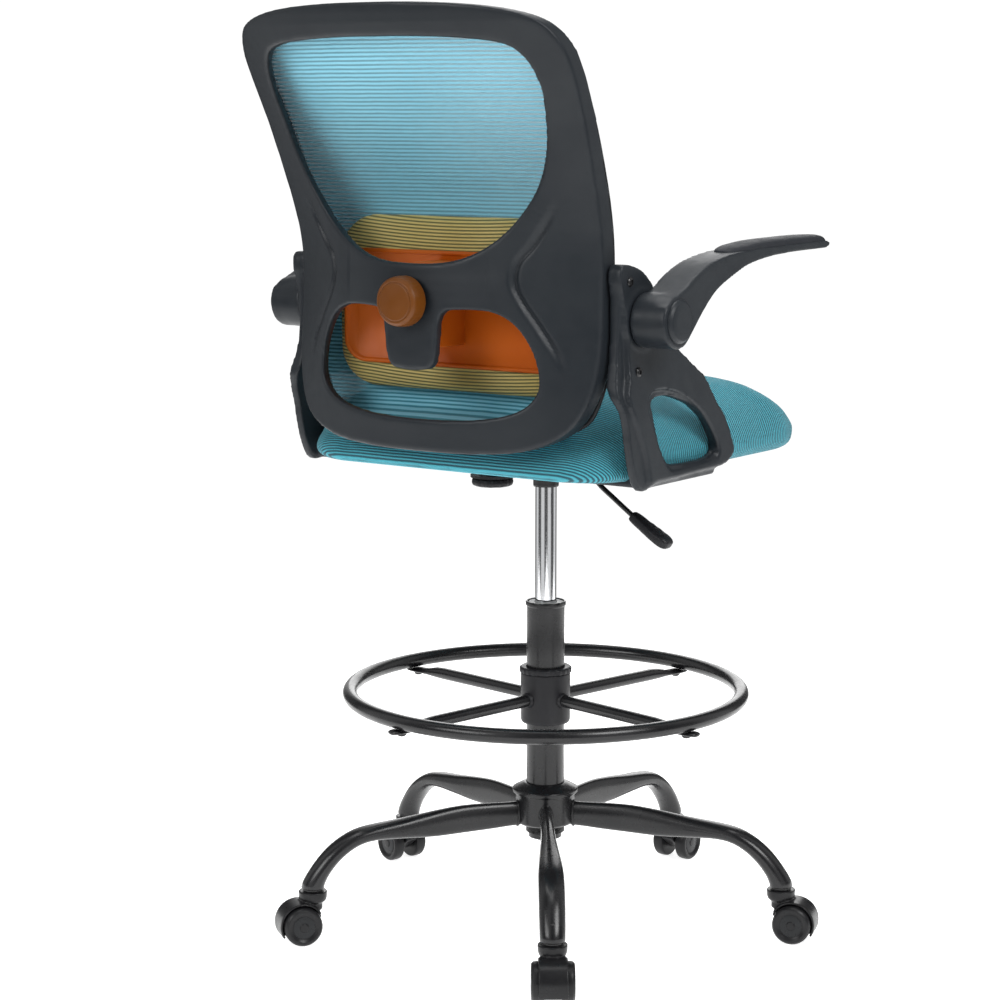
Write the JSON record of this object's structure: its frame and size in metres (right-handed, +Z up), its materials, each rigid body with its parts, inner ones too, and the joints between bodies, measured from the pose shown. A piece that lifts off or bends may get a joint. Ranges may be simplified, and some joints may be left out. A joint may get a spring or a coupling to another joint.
{
  "type": "drafting chair",
  "caption": "Tall swivel task chair: five-star caster base, gas lift, foot ring, tilting cushion seat, mesh back with lumbar pad, flip-up armrests.",
  "frame": {"origin": "centre of the chair's footprint box on the floor", "axes": "+Z up; the sitter faces -Y; +X is the sitter's left"},
  "size_m": [0.7072, 0.751, 1.19],
  "materials": {
    "frame_metal": "semi-gloss powder coat",
    "caster_plastic": "satin moulded nylon",
    "wheel": "satin tread",
    "steel": "zinc plated",
    "steel_black": "semi-gloss",
    "chrome": "polished",
    "bush": "natural acetal",
    "mechanism": "satin powder coat",
    "frame_plastic": "fine moulded texture",
    "pad": "soft-touch",
    "seat_fabric": "striped woven mesh over foam",
    "mesh_fabric": "open elastic mesh",
    "lumbar_fabric": "striped knit over foam",
    "lumbar_plastic": "satin",
    "knob": "satin"
  },
  "bodies": {
    "base": {"base_hub": "frame_metal", "base_leg_1": "frame_metal", "base_leg_2": "frame_metal", "base_leg_3": "frame_metal", "base_leg_4": "frame_metal", "base_leg_5": "frame_metal", "caster_stem_1": "steel", "caster_stem_2": "steel", "caster_stem_3": "steel", "caster_stem_4": "steel", "caster_stem_5": "steel", "column_tube": "frame_metal", "column_bush": "bush", "piston_rod": "steel"},
    "gas_lift": {"gas_cylinder": "chrome"},
    "valve": {"valve_button": "steel"},
    "swivel": {"tilt_housing": "mechanism", "tilt_pin": "steel", "tilt_spring": "steel"},
    "lever": {"lever_rod": "steel_black", "lever_paddle": "frame_plastic"},
    "tension_knob": {"tilt_tension_knob": "frame_plastic"},
    "seat": {"seat_plate": "mechanism", "seat_pan": "frame_plastic", "seat_cushion": "seat_fabric", "arm_bracket_left": "frame_plastic", "arm_bracket_right": "frame_plastic", "arm_pivot_left": "frame_plastic", "arm_pivot_right": "frame_plastic", "back_frame": "frame_plastic", "back_mesh": "mesh_fabric"},
    "armrest_left": {"armrest_left": "frame_plastic", "arm_pad_left": "pad"},
    "armrest_right": {"armrest_right": "frame_plastic", "arm_pad_right": "pad"},
    "lumbar": {"lumbar_plate": "lumbar_plastic", "lumbar_cushion": "lumbar_fabric"},
    "lumbar_knob": {"lumbar_knob": "knob"},
    "foot_ring": {"foot_ring": "frame_metal", "foot_ring_collar": "frame_plastic", "foot_ring_spoke_1": "frame_metal", "foot_ring_spoke_2": "frame_metal", "foot_ring_spoke_3": "frame_metal", "foot_ring_spoke_4": "frame_metal"},
    "lock_nut": {"foot_ring_lock_nut": "frame_plastic"},
    "caster_1": {"caster_hood_1": "caster_plastic"},
    "wheels_1": {"caster_wheel_left_1": "wheel", "caster_wheel_right_1": "wheel"},
    "caster_2": {"caster_hood_2": "caster_plastic"},
    "wheels_2": {"caster_wheel_left_2": "wheel", "caster_wheel_right_2": "wheel"},
    "caster_3": {"caster_hood_3": "caster_plastic"},
    "wheels_3": {"caster_wheel_left_3": "wheel", "caster_wheel_right_3": "wheel"},
    "caster_4": {"caster_hood_4": "caster_plastic"},
    "wheels_4": {"caster_wheel_left_4": "wheel", "caster_wheel_right_4": "wheel"},
    "caster_5": {"caster_hood_5": "caster_plastic"},
    "wheels_5": {"caster_wheel_left_5": "wheel", "caster_wheel_right_5": "wheel"}
  },
  "joints": [
    {"name": "gas_lift_slide", "type": "slide", "parent": "base", "child": "gas_lift", "axis": [0, 0, 1], "range_m": [-0.13, 0.06]},
    {"name": "valve_slide", "type": "slide", "parent": "gas_lift", "child": "valve", "axis": [0, 0, 1], "range_m": [-0.0036, 0]},
    {"name": "seat_swivel", "type": "hinge", "parent": "gas_lift", "child": "swivel", "pos_m": [0, -0.0095, 0.6], "axis": [0, 0, 1], "continuous": true},
    {"name": "seat_tilt", "type": "hinge", "parent": "swivel", "child": "seat", "pos_m": [0, 0.0255, 0.622], "axis": [-1, 0, 0], "range_deg": [0, 10], "stiffness_Nm_per_rad": 80, "springref_deg": -25.78, "deforming": ["tilt_spring"]},
    {"name": "height_lever", "type": "hinge", "parent": "swivel", "child": "lever", "pos_m": [-0.052, -0.0095, 0.6265], "axis": [0, 1, 0], "range_deg": [0, 4], "stiffness_Nm_per_rad": 3, "springref_deg": -3.44},
    {"name": "tilt_tension_turn", "type": "hinge", "parent": "swivel", "child": "tension_knob", "pos_m": [0, 0.1105, 0.6], "axis": [0, 0, 1], "range_deg": [-180, 180]},
    {"name": "armrest_flip_left", "type": "hinge", "parent": "seat", "child": "armrest_left", "pos_m": [0.27, 0.1535, 0.82], "axis": [-1, 0, 0], "range_deg": [0, 90]},
    {"name": "armrest_flip_right", "type": "hinge", "parent": "seat", "child": "armrest_right", "pos_m": [-0.27, 0.1535, 0.82], "axis": [-1, 0, 0], "range_deg": [0, 90]},
    {"name": "lumbar_knob_turn", "type": "hinge", "parent": "seat", "child": "lumbar_knob", "pos_m": [0, 0.2905, 0.84], "axis": [0, -1, 0], "range_deg": [-115, 115]},
    {"name": "lumbar_height", "type": "slide", "parent": "seat", "child": "lumbar", "axis": [0, 0, 1], "range_m": [-0.02, 0.02]},
    {"name": "foot_ring_height", "type": "slide", "parent": "base", "child": "foot_ring", "axis": [0, 0, 1], "range_m": [-0.075, 0.075]},
    {"name": "lock_nut_turn", "type": "hinge", "parent": "foot_ring", "child": "lock_nut", "pos_m": [0, -0.0095, 0.337], "axis": [0, 0, 1], "range_deg": [-90, 0]},
    {"name": "caster_swivel_1", "type": "hinge", "parent": "base", "child": "caster_1", "pos_m": [0, -0.3285, 0.06], "axis": [0, 0, 1], "continuous": true},
    {"name": "wheel_roll_1", "type": "hinge", "parent": "caster_1", "child": "wheels_1", "pos_m": [0, -0.3465, 0.025], "axis": [1, 0, 0], "continuous": true},
    {"name": "caster_swivel_2", "type": "hinge", "parent": "base", "child": "caster_2", "pos_m": [0.30339, -0.10808, 0.06], "axis": [0, 0, 1], "continuous": true},
    {"name": "wheel_roll_2", "type": "hinge", "parent": "caster_2", "child": "wheels_2", "pos_m": [0.32051, -0.11364, 0.025], "axis": [0.309, 0.9511, 0], "continuous": true},
    {"name": "caster_swivel_3", "type": "hinge", "parent": "base", "child": "caster_3", "pos_m": [0.1875, 0.24858, 0.06], "axis": [0, 0, 1], "continuous": true},
    {"name": "wheel_roll_3", "type": "hinge", "parent": "caster_3", "child": "wheels_3", "pos_m": [0.19808, 0.26314, 0.025], "axis": [-0.809, 0.5878, 0], "continuous": true},
    {"name": "caster_swivel_4", "type": "hinge", "parent": "base", "child": "caster_4", "pos_m": [-0.1875, 0.24858, 0.06], "axis": [0, 0, 1], "continuous": true},
    {"name": "wheel_roll_4", "type": "hinge", "parent": "caster_4", "child": "wheels_4", "pos_m": [-0.19808, 0.26314, 0.025], "axis": [-0.809, -0.5878, 0], "continuous": true},
    {"name": "caster_swivel_5", "type": "hinge", "parent": "base", "child": "caster_5", "pos_m": [-0.30339, -0.10808, 0.06], "axis": [0, 0, 1], "continuous": true},
    {"name": "wheel_roll_5", "type": "hinge", "parent": "caster_5", "child": "wheels_5", "pos_m": [-0.32051, -0.11364, 0.025], "axis": [0.309, -0.9511, 0], "continuous": true}
  ],
  "couplings": [
    {"joint": "height_lever", "follows": "valve_slide", "rad_per_m": -19.38},
    {"joint": "lumbar_knob_turn", "follows": "lumbar_height", "rad_per_m": 100}
  ]
}
